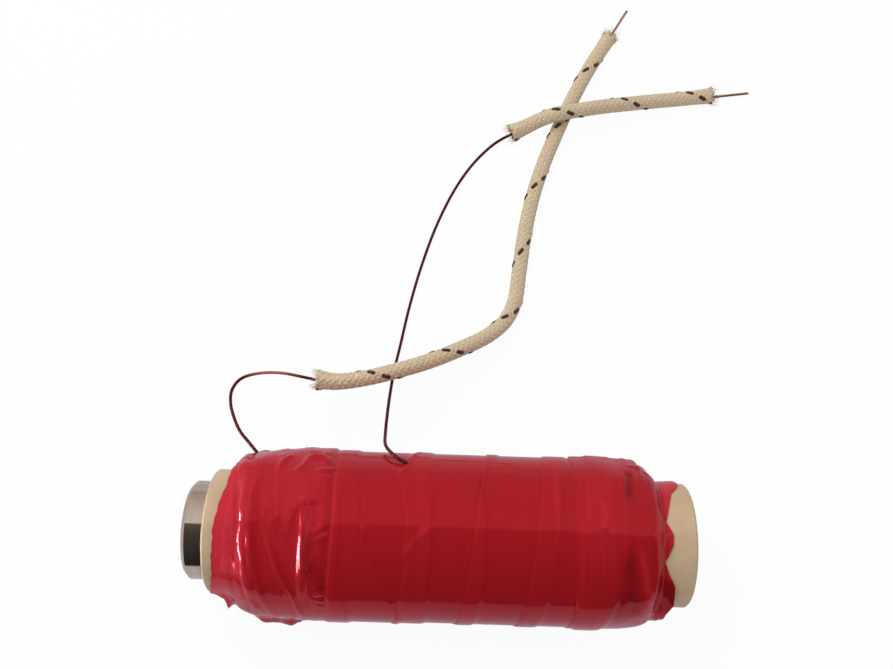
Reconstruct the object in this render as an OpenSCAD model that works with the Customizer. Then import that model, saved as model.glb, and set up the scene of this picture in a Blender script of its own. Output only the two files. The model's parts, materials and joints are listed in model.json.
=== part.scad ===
// Demonstration solenoid: a plastic tube wound with enamelled wire, wrapped in one strip of
// insulating tape, with a loose iron core and two flying leads in woven sleeving.
// The coil lies along X with its axis at axis_z. It rests on z = 0.

/* [Former tube] */
// Outer diameter of the tube
tube_od = 25; // [20:0.5:32]
// Wall of the tube
tube_wall = 2.2; // [1.4:0.1:3]
// Length of the tube
tube_len = 97; // [90:0.5:120]
// Broken edge on the sawn rims
rim_break = 0.4; // [0.1:0.1:0.6]

/* [Iron core] */
// Clearance all round the core in the bore
core_clear = 0.3; // [0.2:0.05:0.6]
// Length of the core
core_len = 100; // [92:0.5:120]
// Chamfer on the core's ends
core_chamfer = 0.8; // [0.3:0.1:1.5]
// How far the core stands out of the tube's left end
core_proud = 4.7; // [2:0.1:10]

/* [Winding] */
// Wire diameter over the enamel
wire_d = 0.72; // [0.5:0.02:0.9]
// Bare tube left of the winding
bare_left = 6.2; // [5:0.1:9]
// Bare tube right of the winding
bare_right = 7.8; // [6:0.1:10]
// How far the top layer stops short of the first one on the left
setback_left = 13.5; // [4:0.5:14]
// How far the top layer stops short of the first one on the right
setback_right = 12; // [6:0.5:20]
// Clearance between the layers
layer_gap = 0.04; // [0.02:0.01:0.08]

/* [Tape wrap] */
// Width of the tape
tape_w = 19; // [15:0.5:25]
// Thickness of the tape
tape_t = 0.2; // [0.13:0.01:0.3]
// Clearance under each pass of the tape
tape_gap = 0.1; // [0.08:0.01:0.2]
// Full turns of the steady wrap between the first and the last lap
wrap_turns = 5.75; // [4.75:1:7.75]
// How far the first edge stands left of the winding at the front
collar_front = 5.9; // [3:0.1:6]
// How far the first edge stands left of the winding at the back
collar_back = 1.6; // [0.5:0.1:3]
// How far the last pass runs past the winding's right end
end_reach = 4.5; // [2:0.1:5.5]
// How far the finishing lap falls back to the left
finish_back = 4; // [1:0.5:6]
// Slope at which the collar's loose edge stands off the tube
collar_flare = 0.35; // [0:0.05:0.5]
// How much further out each pass bridges the winding's ends than the pass below it
end_slack = 0.7; // [0.5:0.05:1]
// Pleats round each end, where the tape narrows onto the tube
pleats = 8; // [0:1:10]
// Height of a pleat
pleat_h = 0.7; // [0:0.05:1.2]

/* [Leads] */
// Outer diameter of the woven sleeving
sleeve_od = 3.7; // [3:0.1:4.5]
// Bore of the woven sleeving
sleeve_bore = 3; // [2.4:0.1:3.4]
// Bare copper diameter
bare_d = 0.63; // [0.4:0.01:0.8]
// Length of the stripped end
strip_len = 8; // [5:0.5:12]
// Clearance round a lead where it comes out through the tape
exit_clear = 0.2; // [0.15:0.05:0.4]

/* [Hidden] */

// Colours as photographed
cream = "#cdb394";
steel = "#a8968a";
copper_red = "#7a2a1c";
tape_red = "#a01c26";
bare_copper = "#c07a50";
sleeve_cream = "#d8cdb8";

// Places along X: the core's left end and the tube's right end are the two extremes
x_right = (core_proud + tube_len) / 2;
x_core = -x_right;
x_tube = x_core + core_proud;
tube_r = tube_od / 2;
bore_r = tube_r - tube_wall;
core_r = bore_r - core_clear;

// Winding: each layer stops a little short of the one below it
layers = 6;
wind_l = x_tube + bare_left;
wind_r = x_right - bare_right;
step_power = 3;
function setback(i, reach) = reach * pow(i / (layers - 1), step_power);
function layer_r(i) = tube_r + i * wire_d;
function layer_l(i) = wind_l + setback(i, setback_left);
function layer_end(i) = wind_r - setback(i, setback_right);
wind_top = layer_r(layers);

// Surface that the tape is drawn over: it bridges from the tube to the layers' corners
bridged = 2;
foot_l = layer_l(bridged) - (layer_r(bridged + 1) - tube_r);
foot_r = layer_end(bridged) + (layer_r(bridged + 1) - tube_r);
drape_profile = concat(
    [[foot_l, tube_r]],
    [for (i = [bridged : layers - 1]) [layer_l(i), layer_r(i + 1)]],
    [for (i = [layers - 1 : -1 : bridged]) [layer_end(i), layer_r(i + 1)]],
    [[foot_r, tube_r]]
);

// Strip of tape: facets round one turn, facets across the width, half a facet's width
turn_facets = 32;
width_facets = 8;
half_facet = tape_w / width_facets / 2;
facet_out = 1 / cos(180 / turn_facets);
// Length of the ramp beside an edge that the strip passes over
ramp = 3;
function drape(x, bridge) =
    max(lookup(x - bridge, drape_profile), lookup(x + bridge, drape_profile));
// Pleats stand highest half way down each end, and lean: one pitch sideways over this length
pleat_lead = 40;
function pleat(x, angle, r) =
    let (down = (wind_top - r) / (wind_top - tube_r))
    pleat_h * 4 * down * (1 - down) * (1 + cos(pleats * angle - 360 * (x - wind_l) / pleat_lead)) / 2;
function flare(x, bridge) = collar_flare * max(0, foot_l - bridge - x);

// Left edge of the strip, by turns counted from the front: a slanted collar, one lap over it,
// the steady wrap, and a finishing lap that falls back
first_lap = 1.5;
lap_creep = 0.6;
wrap_end = first_lap + wrap_turns;
overrun = 0.15;
last_turn = wrap_end + 1 + overrun;
edge_first = wind_l - collar_back + lap_creep;
edge_last = wind_r + end_reach - tape_w;
wrap_pitch = (edge_last - edge_first) / wrap_turns;
edge_far = edge_last + wrap_pitch * overrun;
edge_path = [
    [0, wind_l - collar_front],
    [0.5, wind_l - collar_back],
    [first_lap, edge_first],
    [wrap_end, edge_last],
    [wrap_end + overrun, edge_far],
    [wrap_end + 1, edge_far - finish_back],
    [last_turn, edge_far - finish_back]
];
function strip_edge(turn) = lookup(turn, edge_path);
function covers(turn, x) =
    turn < 0 ? 0
    : max(0, 1 - max(0, strip_edge(turn) - x, x - strip_edge(turn) - tape_w) / ramp);
function passes_below(turn, x) = covers(turn - 1, x) + covers(turn - 2, x) + covers(turn - 3, x);
function strip_r(turn, x) =
    let (
        below = passes_below(turn, x),
        bridge = half_facet + below * end_slack,
        r = drape(x, bridge)
    )
    r + pleat(x, 360 * turn, r) + flare(x, bridge) + tape_gap + below * (tape_t + tape_gap);

// The coil rests on its thickest place, where three passes lie over each other
most_passes = 3;
axis_z = wind_top + most_passes * (tape_t + tape_gap);

// A place on the coil, by its distance along X, its angle from the front and its radius
function on_coil(x, angle, r) = [x, -r * cos(angle), axis_z + r * sin(angle)];

// Where the leads come out: A through the tape beside the left end of the fourth layer, B from
// under the edge of the wrap's fourth pass. Each starts just clear of the winding
lead_clear = 0.1;
a_exit_in = 2.5;
a_exit_layer = 3;
a_exit = wind_l + a_exit_in;
a_exit_r = layer_r(a_exit_layer) + wire_d / 2 + lead_clear;
b_exit_turn = 4.39;
b_exit = strip_edge(b_exit_turn) - wire_d / 2;
b_exit_r = wind_top + wire_d / 2 + lead_clear;

// Lead routes, X Y Z. The first list of each runs from the tape to the mouth of the sleeving,
// the second one along the middle of the sleeving
a_free = [
    on_coil(a_exit, 183, a_exit_r), on_coil(a_exit - 2 * wire_d, 182, a_exit_r + 1.7 * wire_d),
    [-41.2, 18.8, 17], [-43.2, 21, 16.8], [-45, 24.2, 16], [-46.3, 27.6, 14.8],
    [-46.6, 31, 13.3], [-45.2, 33.8, 12], [-42, 35.3, 11.2], [-37, 35.9, 10.3],
    [-32, 35.4, 9.3]
];
a_sleeved = [
    [-28.3, 34.8, 9.6], [-24, 34.5, 9.5], [-17.5, 35.6, 9.3], [-11.2, 37.4, 9.2],
    [-3.5, 40.4, 7.8], [4, 44.4, 5.6], [10.3, 48.4, 3.6], [14.4, 52.6, 2.4],
    [16.6, 57.6, 1.9], [17.6, 65, 1.9], [18.7, 74, 1.9], [20.4, 83.5, 1.9],
    [23, 93, 1.9], [26.5, 102.6, 1.9], [30.6, 112.6, 1.9], [35.4, 122.6, 1.9],
    [41, 132.5, 1.9]
];
b_free = [
    on_coil(b_exit, 140, b_exit_r), on_coil(b_exit - 1.7 * wire_d, 141.5, b_exit_r + wire_d / 2),
    on_coil(b_exit - 3.4 * wire_d, 144, b_exit_r + 1.1 * wire_d), [-10.2, 15.9, 27], [-11.2, 17.3, 24.8],
    [-11.7, 18.9, 21.8], [-11.9, 21, 18.6], [-12, 24.3, 15.4], [-11.9, 31, 10.2],
    [-11.4, 38.2, 6], [-10.3, 46, 2.8], [-8.8, 55.4, 0.9], [-6.4, 66, 0.4],
    [-2.8, 77.8, 0.4], [1.6, 88, 0.4], [6, 95, 0.6], [10.4, 99.8, 0.9],
    [13.2, 101.9, 1.1]
];
b_sleeved = [
    [15.5, 103.2, 1.9], [18.5, 104.5, 2.4], [22.4, 105.8, 4.3], [26.4, 106.6, 6],
    [30.6, 107.6, 6], [37.5, 109.6, 5], [45, 111.6, 3.6], [53, 113.4, 2.5],
    [60, 114.7, 1.9], [67, 115.8, 1.9]
];
lead_sides = 8;
// The wire lies on the bottom of its sleeving, and a short enamelled end shows past it
wire_sits = 0.25;
enamel_end = 2;
butt_gap = 0.02;
wire_drop = sleeve_bore / 2 * cos(180 / lead_sides) - wire_d / 2 - wire_sits;

function unit(v) = v / norm(v);
function path_dir(pts, i) =
    unit(pts[min(i + 1, len(pts) - 1)] - pts[max(i - 1, 0)]);
function last_dir(pts) = path_dir(pts, len(pts) - 1);
function lowered(pts, by) = [for (p = pts) p - [0, 0, by]];
function ring(c, dir, r, sides) =
    let (side = unit(cross(dir, [0, 0, 1])), up = cross(side, dir))
    [for (k = [0 : sides - 1])
        c + r * (side * cos((k + 0.5) * 360 / sides) + up * sin((k + 0.5) * 360 / sides))];
function sweep_points(pts, r, sides) =
    [for (i = [0 : len(pts) - 1]) each ring(pts[i], path_dir(pts, i), r, sides)];
function wall_faces(rings, sides, at, flip) =
    [for (i = [0 : rings - 2], k = [0 : sides - 1])
        let (
            a = at + i * sides + k,
            b = at + i * sides + (k + 1) % sides,
            c = b + sides,
            d = a + sides
        )
        each flip ? [[a, b, c], [a, c, d]] : [[a, c, b], [a, d, c]]];
function cap_face(sides, at, flip) =
    flip ? [for (k = [0 : sides - 1]) at + k] : [for (k = [sides - 1 : -1 : 0]) at + k];
function rim_faces(sides, outer, inner, flip) =
    [for (k = [0 : sides - 1])
        let (
            a = outer + k,
            b = outer + (k + 1) % sides,
            c = inner + (k + 1) % sides,
            d = inner + k
        )
        each flip ? [[a, c, b], [a, d, c]] : [[a, b, c], [a, c, d]]];

module swept_rod(pts, d) {
    n = len(pts);
    polyhedron(
        points = sweep_points(pts, d / 2, lead_sides),
        faces = concat(
            wall_faces(n, lead_sides, 0, true),
            [cap_face(lead_sides, 0, false)],
            [cap_face(lead_sides, (n - 1) * lead_sides, true)]
        ),
        convexity = 10
    );
}

module swept_sleeve(pts, od, bore) {
    n = len(pts);
    inner = n * lead_sides;
    last = (n - 1) * lead_sides;
    polyhedron(
        points = concat(
            sweep_points(pts, od / 2, lead_sides),
            sweep_points(pts, bore / 2, lead_sides)
        ),
        faces = concat(
            wall_faces(n, lead_sides, 0, true),
            wall_faces(n, lead_sides, inner, false),
            rim_faces(lead_sides, 0, inner, true),
            rim_faces(lead_sides, last, inner + last, false)
        ),
        convexity = 10
    );
}

// A solid of revolution about the coil's axis, from a profile of [x, r] points
module turned(profile) {
    translate([0, 0, axis_z])
        rotate([0, 90, 0])
            rotate_extrude($fn = 96)
                polygon([for (p = profile) [p[1], p[0]]]);
}

// A row of points is one station along the strip: the lower face, then the upper one
module tape_strip() {
    steps = floor(last_turn * turn_facets) - 1;
    row = width_facets + 1;
    station = 2 * row;
    points = [for (i = [0 : steps], upper = [0, 1], j = [0 : width_facets])
        let (
            turn = (i + 0.5) / turn_facets,
            x = strip_edge(turn) + j * tape_w / width_facets,
            r = (strip_r(turn, x) + upper * tape_t) * facet_out,
            angle = 360 * turn
        )
        [x, -r * cos(angle), axis_z + r * sin(angle)]];
    // Outline of one station's section, in order round it
    section = concat(
        [for (j = [0 : width_facets]) j],
        [for (j = [width_facets : -1 : 0]) row + j]
    );
    sides = len(section);
    faces = concat(
        [for (i = [0 : steps - 1], k = [0 : sides - 1])
            let (
                a = i * station + section[k],
                b = i * station + section[(k + 1) % sides],
                c = b + station,
                d = a + station
            )
            each [[a, c, b], [a, d, c]]],
        [for (j = [0 : width_facets - 1])
            each [
                [section[j], j + 1, row + j + 1],
                [section[j], row + j + 1, row + j]
            ]],
        [for (j = [0 : width_facets - 1])
            let (s = steps * station)
            each [
                [s + j, s + row + j + 1, s + j + 1],
                [s + j, s + row + j, s + row + j + 1]
            ]]
    );
    polyhedron(points = points, faces = faces, convexity = 12);
}

module winding_layer(i) {
    color(copper_red)
        turned([
            [layer_l(i), layer_r(i) + layer_gap],
            [layer_end(i), layer_r(i) + layer_gap],
            [layer_end(i), layer_r(i + 1)],
            [layer_l(i), layer_r(i + 1)]
        ]);
}

module former_tube() {
    color(cream)
        turned([
            [x_tube + rim_break, bore_r],
            [x_right - rim_break, bore_r],
            [x_right, bore_r + rim_break],
            [x_right, tube_r - rim_break],
            [x_right - rim_break, tube_r],
            [x_tube + rim_break, tube_r],
            [x_tube, tube_r - rim_break],
            [x_tube, bore_r + rim_break]
        ]);
}

module iron_core() {
    color(steel)
        turned([
            [x_core, 0],
            [x_core, core_r - core_chamfer],
            [x_core + core_chamfer, core_r],
            [x_core + core_len - core_chamfer, core_r],
            [x_core + core_len, core_r - core_chamfer],
            [x_core + core_len, 0]
        ]);
}

module tape_wrap() {
    color(tape_red)
        difference() {
            tape_strip();
            swept_rod(exit_route(a_free), wire_d + 2 * exit_clear);
            swept_rod(exit_route(b_free), wire_d + 2 * exit_clear);
        }
}

// A lead's way out through the tape, begun a little behind the lead's own end
function exit_route(free) =
    concat([free[0] - 2 * exit_clear * path_dir(free, 0)], [for (i = [0 : 3]) free[i]]);

function wire_route(free, sleeved) =
    let (in_sleeve = lowered(sleeved, wire_drop))
    concat(free, in_sleeve, [in_sleeve[len(in_sleeve) - 1] + enamel_end * last_dir(in_sleeve)]);

module lead_wire(free, sleeved) {
    color(copper_red)
        swept_rod(wire_route(free, sleeved), wire_d);
}

module lead_sleeve(sleeved) {
    color(sleeve_cream)
        swept_sleeve(sleeved, sleeve_od, sleeve_bore);
}

// Stripped end: a straight round rod that carries on from the enamelled wire
module bare_end(free, sleeved) {
    route = wire_route(free, sleeved);
    dir = last_dir(route);
    color(bare_copper)
        translate(route[len(route) - 1] + butt_gap * dir)
            rotate([0, acos(dir[2]), atan2(dir[1], dir[0])])
                cylinder(h = strip_len, d = bare_d, $fn = 24);
}

module winding_layer_1() { winding_layer(0); }
module winding_layer_2() { winding_layer(1); }
module winding_layer_3() { winding_layer(2); }
module winding_layer_4() { winding_layer(3); }
module winding_layer_5() { winding_layer(4); }
module winding_layer_6() { winding_layer(5); }
module lead_a_wire() { lead_wire(a_free, a_sleeved); }
module lead_a_sleeve() { lead_sleeve(a_sleeved); }
module lead_a_bare_end() { bare_end(a_free, a_sleeved); }
module lead_b_wire() { lead_wire(b_free, b_sleeved); }
module lead_b_sleeve() { lead_sleeve(b_sleeved); }
module lead_b_bare_end() { bare_end(b_free, b_sleeved); }

former_tube();
iron_core();
winding_layer_1();
winding_layer_2();
winding_layer_3();
winding_layer_4();
winding_layer_5();
winding_layer_6();
tape_wrap();
lead_a_wire();
lead_a_sleeve();
lead_a_bare_end();
lead_b_wire();
lead_b_sleeve();
lead_b_bare_end();
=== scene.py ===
import json
import math

import bpy
import numpy as np
from mathutils import Matrix, Vector

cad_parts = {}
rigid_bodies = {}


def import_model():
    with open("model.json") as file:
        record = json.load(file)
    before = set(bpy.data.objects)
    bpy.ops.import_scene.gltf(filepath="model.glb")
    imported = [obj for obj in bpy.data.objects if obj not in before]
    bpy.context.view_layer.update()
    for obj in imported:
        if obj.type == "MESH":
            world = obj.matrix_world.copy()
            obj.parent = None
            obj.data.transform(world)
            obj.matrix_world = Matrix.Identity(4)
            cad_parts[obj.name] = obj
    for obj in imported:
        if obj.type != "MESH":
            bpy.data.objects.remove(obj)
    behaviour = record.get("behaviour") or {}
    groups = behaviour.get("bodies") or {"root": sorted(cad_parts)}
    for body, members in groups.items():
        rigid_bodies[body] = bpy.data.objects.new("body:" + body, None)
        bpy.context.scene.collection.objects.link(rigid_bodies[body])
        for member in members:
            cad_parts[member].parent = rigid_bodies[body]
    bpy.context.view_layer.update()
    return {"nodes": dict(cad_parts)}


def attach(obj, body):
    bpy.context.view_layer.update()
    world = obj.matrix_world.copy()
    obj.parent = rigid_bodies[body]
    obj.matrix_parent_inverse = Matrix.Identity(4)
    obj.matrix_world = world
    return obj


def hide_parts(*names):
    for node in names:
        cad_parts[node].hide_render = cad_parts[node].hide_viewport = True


for leftover in list(bpy.data.objects):
    bpy.data.objects.remove(leftover)
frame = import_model()

bl_info = {
    "name": "Taped solenoid coil",
    "version": (1, 0, 0),
    "blender": (4, 5, 0),
    "location": "View3D > Sidebar > Coil",
    "description": "Dresses the solids of a taped solenoid with its tape, leads, sleeving and finishes",
    "category": "Object",
}

# Sizes in millimetres, as in the solids. Angles in degrees go round the coil: 0 front, 90 top, 180 back
MM = 0.001
AXIS_Z = 17.72
TUBE_R, WIRE_D, LAYERS = 12.5, 0.72, 6
WIND_L, WIND_R = -39.95, 43.05
WIND_TOP = TUBE_R + WIRE_D * LAYERS
# How far the top layer stops short of the bottom one, at the left and at the right
STEP_L, STEP_R = 13.5, 12.0
SLEEVE_BORE = 3.0
# Radius of the middle of the wrap, and the length of tape that goes once round it
WRAP_R, LAP = 17, 107

# Routes of the two leads, in the open and in their sleeving
A_FREE = [
    (-41.2, 18.8, 17), (-43.2, 21, 16.8), (-45, 24.2, 16), (-46.3, 27.6, 14.8), (-46.6, 31, 13.3),
    (-45.2, 33.8, 12), (-42, 35.3, 11.2), (-37, 35.9, 10.3), (-32, 35.4, 9.3),
]
A_SLEEVED = [
    (-28.3, 34.8, 9.6), (-24, 34.5, 9.5), (-17.5, 35.6, 9.3), (-11.2, 37.4, 9.2), (-3.5, 40.4, 7.8),
    (4, 44.4, 5.6), (10.3, 48.4, 3.6), (14.4, 52.6, 2.4), (16.6, 57.6, 1.9), (17.6, 65, 1.9),
    (18.7, 74, 1.9), (20.4, 83.5, 1.9), (23, 93, 1.9), (26.5, 102.6, 1.9), (30.6, 112.6, 1.9),
    (35.4, 122.6, 1.9), (41, 132.5, 1.9),
]
B_FREE = [
    (-10.2, 15.9, 27), (-11.2, 17.3, 24.8), (-11.7, 18.9, 21.8), (-11.9, 21, 18.6), (-12, 24.3, 15.4),
    (-11.9, 31, 10.2), (-11.4, 38.2, 6), (-10.3, 46, 2.8), (-8.8, 55.4, 0.9), (-6.4, 66, 0.4),
    (-2.8, 77.8, 0.4), (1.6, 88, 0.4), (6, 95, 0.6), (10.4, 99.8, 0.9), (13.2, 101.9, 1.1),
]
B_SLEEVED = [
    (15.5, 103.2, 1.9), (18.5, 104.5, 2.4), (22.4, 105.8, 4.3), (26.4, 106.6, 6), (30.6, 107.6, 6),
    (37.5, 109.6, 5), (45, 111.6, 3.6), (53, 113.4, 2.5), (60, 114.7, 1.9), (67, 115.8, 1.9),
]

# Left edge of the strip, by turns counted from the front, and its width where it was stretched
EDGE = np.array([
    (0.0, -45.9), (0.04, -45.3), (0.1, -44.1), (0.17, -43.6), (0.25, -43.5), (0.32, -42.6),
    (0.39, -41.5), (0.5, -40.6), (0.75, -38.6), (1.0, -36.8), (1.06, -36.5), (1.14, -37.6),
    (1.2, -38.4), (1.25, -38.2), (1.31, -38.9), (1.36, -40.1), (1.42, -41.0), (1.5, -40.6),
    (1.75, -35.0), (2.0, -27.0), (2.04, -26.5), (2.1, -27.8), (2.14, -29.2), (2.17, -30.9),
    (2.2, -32.1), (2.24, -33.8), (2.3, -35.2), (2.42, -36.4), (2.5, -36.0), (2.75, -30.0),
    (3.0, -22.0), (3.06, -21.5), (3.15, -21.2), (3.25, -20.5), (3.45, -20.9), (3.5, -20.4),
    (3.75, -14.5), (4.0, -8.6), (4.08, -7.4), (4.19, -6.4), (4.27, -6.6), (4.34, -7.6),
    (4.386, -6.3), (4.47, -4.0), (4.75, 0.2), (5.0, 3.9), (5.25, 6.9), (5.5, 9.9), (6.0, 16.0),
    (6.25, 19.0), (6.5, 21.5), (7.0, 26.4), (7.25, 28.55), (7.4, 30.36), (8.25, 26.36), (8.46, 26.36),
])
WIDTH = np.array([(0, 19), (3.4, 19.2), (4.0, 15.4), (5.9, 16.2), (6.6, 19), (8.46, 19)])
# How far the right edge is puckered in or pulled out, by turns
PUCKER = np.array([
    (6.9, 0), (7.04, 0.2), (7.075, 0.9), (7.13, 0.1), (7.16, -1.4), (7.2, -2.9), (7.275, -3.4),
    (7.31, -3.1), (7.38, -2.4), (7.43, -0.3), (7.5, 0), (8.0, -1.5), (8.1, -4.0), (8.15, -3.2),
    (8.18, -2.0), (8.21, -0.6), (8.235, 0.4), (8.26, 0.6), (8.29, -0.7), (8.32, -2.0), (8.34, -2.7),
    (8.46, -2.9),
])
STRIP_W, TAPE_T, TAPE_GAP, LAST_TURN = 19, 0.2, 0.05, 8.46
# Where a lead or a loose lap holds the tape off the tube: middle and half of the angle, X from and to,
# radius, and how much it falls for each millimetre outwards
PROPPED = [
    (85, 85, -38.6, -48, 14.9, 0.33),
    (163, 36, -36.5, -48, 15.6, 0.18),
    (160, 30, 40, 43.9, 15.75, 0.45),
    (168, 24, 36, 41, 16.3, 0.02),
    (350, 30, 43, 47.6, 14.2, 0.05),
]

# The two long folds of the left end, from the front upwards and from the top downwards
SECOND_FOLD = [
    (-33.0, 16), (-33.8, 33), (-34.4, 46), (-35.2, 59), (-35.9, 72), (-36.5, 95), (-36.6, 110), (-36.2, 123),
    (-36.1, 142),
]
THIRD_FOLD = [(-33.3, 80), (-31.9, 71), (-30.7, 61), (-29.0, 46), (-27.4, 30), (-25.6, 2)]
# The edge of the third lap stands up on the left of its way: height, half width and places (X, angle)
LIPS = [(0.06, 0.6, THIRD_FOLD)]
# Creases: height, half width and places along each
CREASES = [
    (0.26, 0.7, SECOND_FOLD),
    (0.19, 0.4, [(-36.1, 88), (-35.9, 77), (-35.6, 67), (-35.2, 56), (-34.6, 46)]),
    (0.42, 1.1, [(-31.3, 116), (-31.0, 98), (-31.9, 84)]),
    (0.45, 0.8, [(-21.5, 106), (-23.8, 106), (-26.2, 104), (-27.8, 99), (-28.5, 91), (-28.4, 80)]),
    (0.8, 0.85, [(-25.8, 124), (-25.5, 102), (-25.4, 88), (-25.4, 72), (-25.5, 54), (-25.7, 34)]),
    (0.28, 0.6, [(-20.6, 85), (-23.5, 79)]),
    (0.3, 0.5, [(-24.2, 84), (-22.7, 87), (-20.9, 92)]),
    (0.45, 0.5, [(-31.8, 132), (-30.9, 140), (-29.4, 147)]),
    (0.45, 0.5, [(-26.6, 143), (-23.8, 143), (-22.5, 153)]),
    (0.35, 0.5, [(-24.9, 127), (-20.7, 131)]),
    (0.5, 0.6, [(-30.2, 129), (-28.1, 127), (-26.7, 135), (-26.2, 141), (-24.1, 143), (-20.8, 136)]),
    (0.3, 0.5, [(-25.3, 124), (-20.6, 122)]),
    (0.42, 0.7, [(-31.6, 152), (-31.4, 134), (-32.0, 126)]),
    (-0.35, 1.1, [(-24.6, 67), (-22.9, 58), (-21.6, 44)]),
    (0.3, 0.3, [(-23.6, 47), (-21.2, 52)]),
    (0.3, 0.3, [(-23.4, 43), (-21.2, 45)]),
    (0.3, 0.3, [(-23.2, 39), (-21.3, 37)]),
    (0.15, 0.3, [(-23.0, 34), (-21.4, 30)]),
    (0.04, 0.5, [(-42.6, 96), (-40.6, 88), (-39.2, 90)]),
    (0.04, 0.5, [(-43.0, 60), (-41.2, 70), (-39.6, 64)]),
    (0.04, 0.5, [(-43.2, 48), (-40.8, 44), (-38.8, 50)]),
    (-0.35, 0.8, [(37.9, 142), (37.3, 126), (36.7, 111)]),
    (0.18, 0.5, [(36.4, 140), (35.9, 124), (35.8, 108)]),
    (-0.4, 1.5, [(36.9, 82), (37.2, 62), (38.2, 44), (38.8, 24)]),
    (0.3, 0.7, [(38.4, 84), (40.0, 62), (42.0, 34)]),
    (0.12, 0.5, [(31.1, 113), (32.3, 103), (31.5, 90)]),
    (0.1, 0.5, [(23.0, 136), (22.9, 110), (23.0, 90), (22.9, 71), (22.0, 40)]),
    (0.3, 0.6, [(37.6, 149), (40.4, 151), (43.0, 144)]),
    (0.1, 0.45, [(-7.5, 70), (-4.7, 82), (-1.0, 92)]),
    (0.4, 0.6, [(-8.2, 119), (-6.5, 139), (-3.8, 176)]),
    (0.5, 0.8, [(-35.5, 185), (-37.5, 183), (-39.2, 181.5)]),
    (1.9, 2.0, [(-37.0, 0), (-31.9, -14), (-27.0, -2)]),
    (1.9, 2.0, [(-37.0, 360), (-31.9, 346), (-27.0, 358)]),
]
# Strokes of painted light and shade on the tape: lighter strokes stand in for lit ridges and bands, darker
# ones for shadows in valleys, under loose edges and on the flap that stands off. Change of tone, half width
# and places along each
PAINTED_LIGHT_AND_SHADE = [
    (-0.2, 1.6, [(36.9, 84), (37.3, 62), (38.2, 44), (38.6, 20)]),
    (-0.16, 1.6, [(36.3, 56), (35.6, 40), (35.4, 20)]),
    (-0.28, 0.9, [(37.9, 146), (37.3, 126), (36.7, 111)]),
    (0.13, 0.7, [(38.4, 86), (40.0, 62), (42.0, 34)]),
    (0.08, 0.5, [(23.0, 140), (22.9, 110), (23.0, 90), (22.9, 68)]),
    (0.07, 0.5, [(31.1, 115), (32.3, 103), (31.5, 88)]),
    (0.1, 0.45, [(-7.6, 69), (-4.7, 82), (-0.8, 93)]),
    (0.06, 0.35, [(-15.0, 126), (-15.8, 97)]),
    (-0.12, 1.2, [(-24.8, 68), (-22.9, 58), (-21.4, 42)]),
    (-0.5, 2.0, [(45.6, 60), (46.6, 34), (47.2, 8)]),
    (0.32, 1.4, [(-39.2, 150), (-39.4, 120), (-39.0, 90), (-38.4, 60), (-37.6, 30), (-36.5, 6)]),
    (-0.24, 0.5, [(-37.3, 24), (-38.4, 50), (-39.2, 72), (-39.0, 90), (-39.7, 112), (-40.9, 132)]),
    (0.05, 4.0, [(31.0, 140), (31.0, 60)]),
    (0.1, 0.4, SECOND_FOLD),
    (-0.12, 0.8, [(x + 1.0, angle) for x, angle in SECOND_FOLD]),
    (0.08, 0.4, THIRD_FOLD),
    (-0.1, 0.9, [(x + 1.1, angle) for x, angle in THIRD_FOLD]),
    (-0.14, 0.5, [(-37.4, 88), (-36.2, 66), (-35.0, 50), (-33.6, 26)]),
    (0.12, 0.35, [(-21.4, 5), (-21.0, 25), (-20.7, 54), (-20.0, 90), (-20.3, 130), (-20.5, 160)]),
    (-0.1, 0.6, [(-22.6, 12), (-22.0, 30), (-21.8, 54), (-21.2, 90), (-21.4, 130), (-21.6, 155)]),
]


def on_coil(x, angle, r):
    """Place on the coil, by its distance along X, its angle from the front and its radius."""
    turn = math.radians(angle)
    return x, -r * math.cos(turn), AXIS_Z + r * math.sin(turn)


def linear(code):
    """Linear RGB of an sRGB hex colour."""
    parts = [int(code[i:i + 2], 16) / 255 for i in (1, 3, 5)]
    return tuple(p / 12.92 if p <= 0.04045 else ((p + 0.055) / 1.055) ** 2.4 for p in parts)


def set_inputs(tree, node, inputs):
    """Give a node's inputs their values, or a link where a node or an output is given."""
    for key, value in inputs.items():
        if isinstance(value, bpy.types.Node):
            value = value.outputs[0]
        if isinstance(value, bpy.types.NodeSocket):
            tree.links.new(value, node.inputs[key])
        else:
            node.inputs[key].default_value = value


def add(tree, kind, inputs=None, **settings):
    """Add a node with its settings and its inputs."""
    made = tree.nodes.new(kind)
    for key, value in settings.items():
        setattr(made, key, value)
    set_inputs(tree, made, inputs or {})
    return made


def new_material(name):
    """Empty node material, with its tree and its surface shader."""
    material = bpy.data.materials.new(name)
    material.use_nodes = True
    tree = material.node_tree
    tree.nodes.clear()
    shader = add(tree, "ShaderNodeBsdfPrincipled")
    add(tree, "ShaderNodeOutputMaterial", {"Surface": shader})
    return material, tree, shader


def mesh_piece(name, points, faces, material):
    """Mesh object at the origin, from points in millimetres."""
    mesh = bpy.data.meshes.new(name)
    mesh.from_pydata((np.asarray(points, float) * MM).tolist(), [], faces)
    mesh.materials.append(material)
    mesh.update()
    piece = bpy.data.objects.new(name, mesh)
    bpy.context.scene.collection.objects.link(piece)
    return piece


def finish_solid(node, material):
    """Give one of the solids its finish."""
    solid = frame["nodes"][node]
    solid.data.materials.clear()
    solid.data.materials.append(material)
    return solid


def point_values(mesh, name, values):
    """Store a number at each point of a mesh."""
    mesh.attributes.new(name, "FLOAT", "POINT").data.foreach_set("value", np.asarray(values, np.float32))


# Tape

def ramp(value, start, over):
    """0 up to a start, 1 from a distance past it, and straight between."""
    return np.clip((value - start) / over, 0, 1)


def hump(value, centre, half, power=2):
    """1 at a centre, falling off smoothly to both sides."""
    return np.exp(-((value - centre) / half) ** power)


def angle_from(angle, middle):
    """Angle from a middle, from -180 to 180."""
    return (angle - middle + 180) % 360 - 180


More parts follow.
